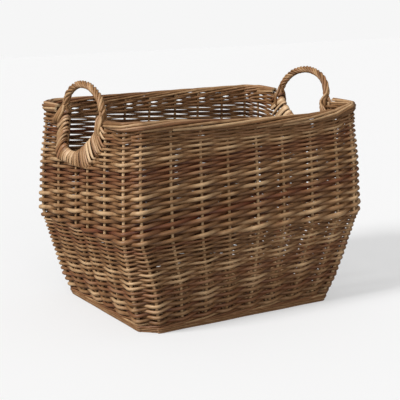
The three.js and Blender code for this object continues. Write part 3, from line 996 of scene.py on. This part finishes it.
# %% Bow
BOW_DIAMETER = 10 * MM
BOW_HALF_WIDTH = 89 * MM
BOW_SPRING = BINDING_TOP + 6 * MM
BOW_RISE = 57 * MM
BOW_POINTS = 97
LEG_DEPTH = 36 * MM
LEG_POINTS = 7
HOOP_OUT = {RIGHT_END: 5 * MM, LEFT_END: 0}
HOOP_LEAN = {RIGHT_END: -15 * MM, LEFT_END: 3 * MM}


def bow_line(end):
    """The bow from its left spring over the top to its right one, seen from outside."""
    angle = np.linspace(0, math.pi, BOW_POINTS)
    rise = BOW_RISE * np.sin(angle)
    spring_x = wall_at(BOW_SPRING)[0] - WALL_THICKNESS / 2 + HOOP_OUT[end]
    x = end * (spring_x - HOOP_LEAN[end] * rise / BOW_RISE)
    return np.stack([x, -end * BOW_HALF_WIDTH * np.cos(angle), BOW_SPRING + rise], -1)


def bow_rod(end):
    """The bow with both its legs."""
    heights = np.linspace(BINDING_TOP - LEG_DEPTH, BINDING_TOP, LEG_POINTS)
    left, right = (on_end(end, foot * BOW_HALF_WIDTH, heights, WALL_THICKNESS / 2) for foot in (-1, 1))
    path = smooth_path(np.vstack([left, bow_line(end), right[::-1]]), 2)
    return rod(path, BOW_DIAMETER, BOW_DIAMETER, end_way(end, 1, 0, 0), tone=0.4)


print("points on a bow:", len(bow_rod(RIGHT_END)["path"]))

# %% [markdown]
# ## Roping
#
# Five thin rods are roped round each bow. Their turns are long and nearly straight at the left foot
# and tighten towards the right. Past the left foot, seen from outside, the strands sweep on outward
# over the band, and past the right foot they run straight down and close up.

# %% Roping
ROPING_RADIUS = 5.5 * MM
ROPING_STRANDS = 5
ROPING_STRAND_SIZE = 5.9 * MM
LONG_TURN = 120 * MM
TIGHT_TURN = 58 * MM
# The shares of the bow between which the long turns become tight ones.
TIGHTENING = [0.12, 0.35]
# The tails leave the bow this many of its points before the springs.
FREE_POINTS = 4
TAIL_PITCH = 5 * MM
# Where the strands go past the left foot (-1) and the right one (1): how far outward of the bow, how
# far under the spring and how far out of the wall, all in mm, and how widely they fan out.
TAILS = {
    -1: [(3, 8, 2, 0.8), (11, 20, 5, 1.0), (20, 32, 6, 1.1), (26, 40, -4, 1.1)],
    1: [(3, 8, 2, 0.9), (5, 18, 5, 0.8), (4, 32, 6, 0.6), (6, 46, -4, 0.3)],
}


def tail(end, foot, strand, is_outside):
    """The end of a roping strand past a foot of the bow, over the outside or the inside of the band."""
    points = []
    for outward_by, under, proud, spread in TAILS[foot]:
        fan = (strand - (ROPING_STRANDS - 1) / 2) * TAIL_PITCH * spread
        across = foot * (BOW_HALF_WIDTH + outward_by * MM) + fan
        inset = -proud * MM if is_outside else WALL_THICKNESS + proud * MM
        points.append(on_end(end, across, BOW_SPRING - under * MM, inset))
    return np.array(points)


def roping(end):
    """The strands round one bow, each from one tucked end to the other."""
    arch = bow_line(end)
    way_out = end_way(end, 1, 0, 0)
    along = unit(np.gradient(arch, axis=0))
    through = unit(way_out - (along @ way_out)[:, None] * along)
    across = np.cross(along, through)
    length = distances(arch)
    turn_length = np.interp(length / length[-1], TIGHTENING, [LONG_TURN, TIGHT_TURN])
    turned = np.concatenate([[0], np.cumsum(np.diff(length) * 2 * math.pi / turn_length[1:])])
    strands = []
    for strand in range(ROPING_STRANDS):
        angle = turned + 2 * math.pi * (strand + rng.uniform(-0.1, 0.1)) / ROPING_STRANDS
        around = np.cos(angle)[:, None] * through + np.sin(angle)[:, None] * across
        around = around[FREE_POINTS:-FREE_POINTS]
        body = arch[FREE_POINTS:-FREE_POINTS] + ROPING_RADIUS * around
        left = tail(end, -1, strand, strand % 4 != 3)
        right = tail(end, 1, strand, strand % 4 != 1)
        ways = np.pad(around, ((len(left), len(right)), (0, 0)), mode="edge")
        path, ways = smoothed(np.vstack([left[::-1], body, right]), ways, 2)
        size = ROPING_STRAND_SIZE * rng.uniform(0.9, 1.1)
        strands.append(rod(path, size, size, ways, **bark((0.2, 1.0), (-0.1, 0.4))))
    return strands


for name, end in ENDS:
    piece(f"bow_rod_{name}", [bow_rod(end)], ROPING_WILLOW, "handle_willow", f"handle_bow_{name}")
    piece(f"roping_{name}", roping(end), ROPING_WILLOW, "handle_willow", f"handle_roping_{name}")

# %% [markdown]
# ## The base
#
# Five thick sticks lie lengthways in the base. Their places are read from the frame.

# %% Base sticks
MAT_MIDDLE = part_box("base_mat")[1].z / 2
STICK_COUNT = 5
STICK_DIAMETER = 9 * MM
STICK_POINTS = 24

stick_lines = []
for index in range(STICK_COUNT):
    node = f"base_stick_{index + 1}"
    low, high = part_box(node)
    y = (low.y + high.y) / 2
    stick_lines.append(y)
    path = np.linspace((low.x, y, MAT_MIDDLE), (high.x, y, MAT_MIDDLE), STICK_POINTS)
    stick = rod(path, STICK_DIAMETER, STICK_DIAMETER, (0, 0, 1), **bark((0.3, 0.7)))
    piece(f"willow_{node}", [stick], BROWN_WILLOW, "base_willow", node)
stick_lines.sort()

# %% [markdown]
# ## The base weave
#
# Rods are woven across the sticks, over one and under the next, and the foot wale holds their ends.
# Neighbouring rods pass the sticks on opposite sides, which is plain weave.

# %% Base weave
MAT_ROD = 5.2 * MM
MAT_PITCH = 5.4 * MM
MAT_BULGE = 4.6 * MM
MAT_MARGIN = 1 * MM
MAT_JITTER = 0.3 * MM

mat_length, mat_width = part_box("base_mat")[1].x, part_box("base_mat")[1].y
mat_cut = LEVELS[0][3] - WALL_THICKNESS * CUT_LOSS
mat_rods = []
for number, x in enumerate(np.arange(-mat_length + MAT_ROD, mat_length - MAT_ROD / 2, MAT_PITCH)):
    reach = min(mat_width, mat_width + mat_length - mat_cut - abs(x)) - MAT_MARGIN
    crossings = np.array([-reach, *stick_lines, reach])
    stops = np.sort(np.append(crossings, (crossings[1:] + crossings[:-1]) / 2))
    bulges = np.zeros(len(stops))
    bulges[2:-2:2] = [MAT_BULGE * (1 if (stick + number) % 2 else -1) for stick in range(STICK_COUNT)]
    place = np.full(len(stops), x + rng.normal(0, MAT_JITTER))
    path = smooth_path(np.stack([place, stops, MAT_MIDDLE + bulges], -1), 4)
    width = MAT_ROD * rng.uniform(0.92, 1.1)
    mat_rods.append(rod(path, width, MAT_ROD * 0.95, (0, 0, 1), **bark((0.1, 0.9), (-0.2, 0.5))))
piece("base_weave", mat_rods, BROWN_WILLOW, "base_willow", "base_mat")

# %% [markdown]
# ## Floor
#
# The photograph is a catalogue picture on near white. The floor shows the camera the same near white
# as the background, with part of its own shading mixed in so that the shadow stays. To other rays it
# is a grey board, so that the basket isn't lit too much from below.

# %% Floor
BACKGROUND = "#F6F6F6"
SEEN_FLOOR = "#F5F5F5"
FLOOR_BOUNCE = "#808080"
FLOOR_SIZE = 12.0
SHADOW_SHARE = 0.5


def seen_as(tree, seen, other):
    """A shader that is one thing to the camera and another to all other rays."""
    ray = add_node(tree, "ShaderNodeLightPath")
    return add_node(tree, "ShaderNodeMixShader",
                    {0: ray.outputs["Is Camera Ray"], 1: other.outputs[0], 2: seen.outputs[0]})


bpy.ops.mesh.primitive_plane_add(size=FLOOR_SIZE, location=(0, 0, 0))
floor = bpy.context.object
floor.name = "floor"
material, tree = new_material("studio_floor")
shaded = add_node(tree, "ShaderNodeBsdfDiffuse", {"Color": linear(SEEN_FLOOR)})
glow = add_node(tree, "ShaderNodeEmission", {"Color": linear(BACKGROUND), "Strength": 1.0})
lit = add_node(tree, "ShaderNodeMixShader", {0: 1 - SHADOW_SHARE, 1: shaded.outputs[0], 2: glow.outputs[0]})
bounce = add_node(tree, "ShaderNodeBsdfDiffuse", {"Color": linear(FLOOR_BOUNCE)})
add_node(tree, "ShaderNodeOutputMaterial", {"Surface": seen_as(tree, lit, bounce).outputs[0]})
floor.data.materials.append(material)
print("floor:", FLOOR_SIZE, "m")

# %% [markdown]
# ## Light
#
# The main light is soft and comes from the left, along the front, so it grazes the front's rods and
# leaves the inside of the back dark. A weak light from the camera's side opens up the front.

# %% Light
# For each lamp: strength, angle of its disc, the way towards it.
LAMPS = {
    "main_light": (3.0, math.radians(16), (-0.80, -0.04, 0.60)),
    "front_light": (1.15, math.radians(50), (-0.30, -0.92, 0.20)),
}
for name, (strength, disc, toward) in LAMPS.items():
    lamp_data = bpy.data.lights.new(name, "SUN")
    lamp_data.energy = strength
    lamp_data.angle = disc
    lamp = bpy.data.objects.new(name, lamp_data)
    toward = np.array(toward) / np.linalg.norm(toward)
    lamp.rotation_euler = (math.acos(toward[2]), 0, math.atan2(toward[1], toward[0]) + math.pi / 2)
    scene.collection.objects.link(lamp)
    print(name, "stands", round(math.degrees(math.asin(toward[2]))), "degrees high")

# %% [markdown]
# ## Background
#
# The sky lights the basket more from above than from the sides, as a studio's ceiling does, and the
# camera sees plain near white instead of it.

# %% Background
SKY_LOW = 0.06
SKY_HIGH = 0.55

world = bpy.data.worlds.new("studio")
world.use_nodes = True
scene.world = world
tree = world.node_tree
tree.nodes.clear()
direction = add_node(tree, "ShaderNodeTexCoord")
height = add_node(tree, "ShaderNodeSeparateXYZ", {0: direction.outputs["Generated"]})
level = add_node(tree, "ShaderNodeMapRange",
                 {0: height.outputs["Z"], 1: 0.0, 2: 1.0, 3: SKY_LOW, 4: SKY_HIGH})
sky = add_node(tree, "ShaderNodeBackground", {"Color": (1, 1, 1, 1), "Strength": level.outputs[0]})
seen = add_node(tree, "ShaderNodeBackground", {"Color": linear(BACKGROUND), "Strength": 1.0})
add_node(tree, "ShaderNodeOutputWorld", {"Surface": seen_as(tree, seen, sky).outputs[0]})
scene.view_settings.view_transform = "Standard"
print("nodes in the world:", len(tree.nodes))
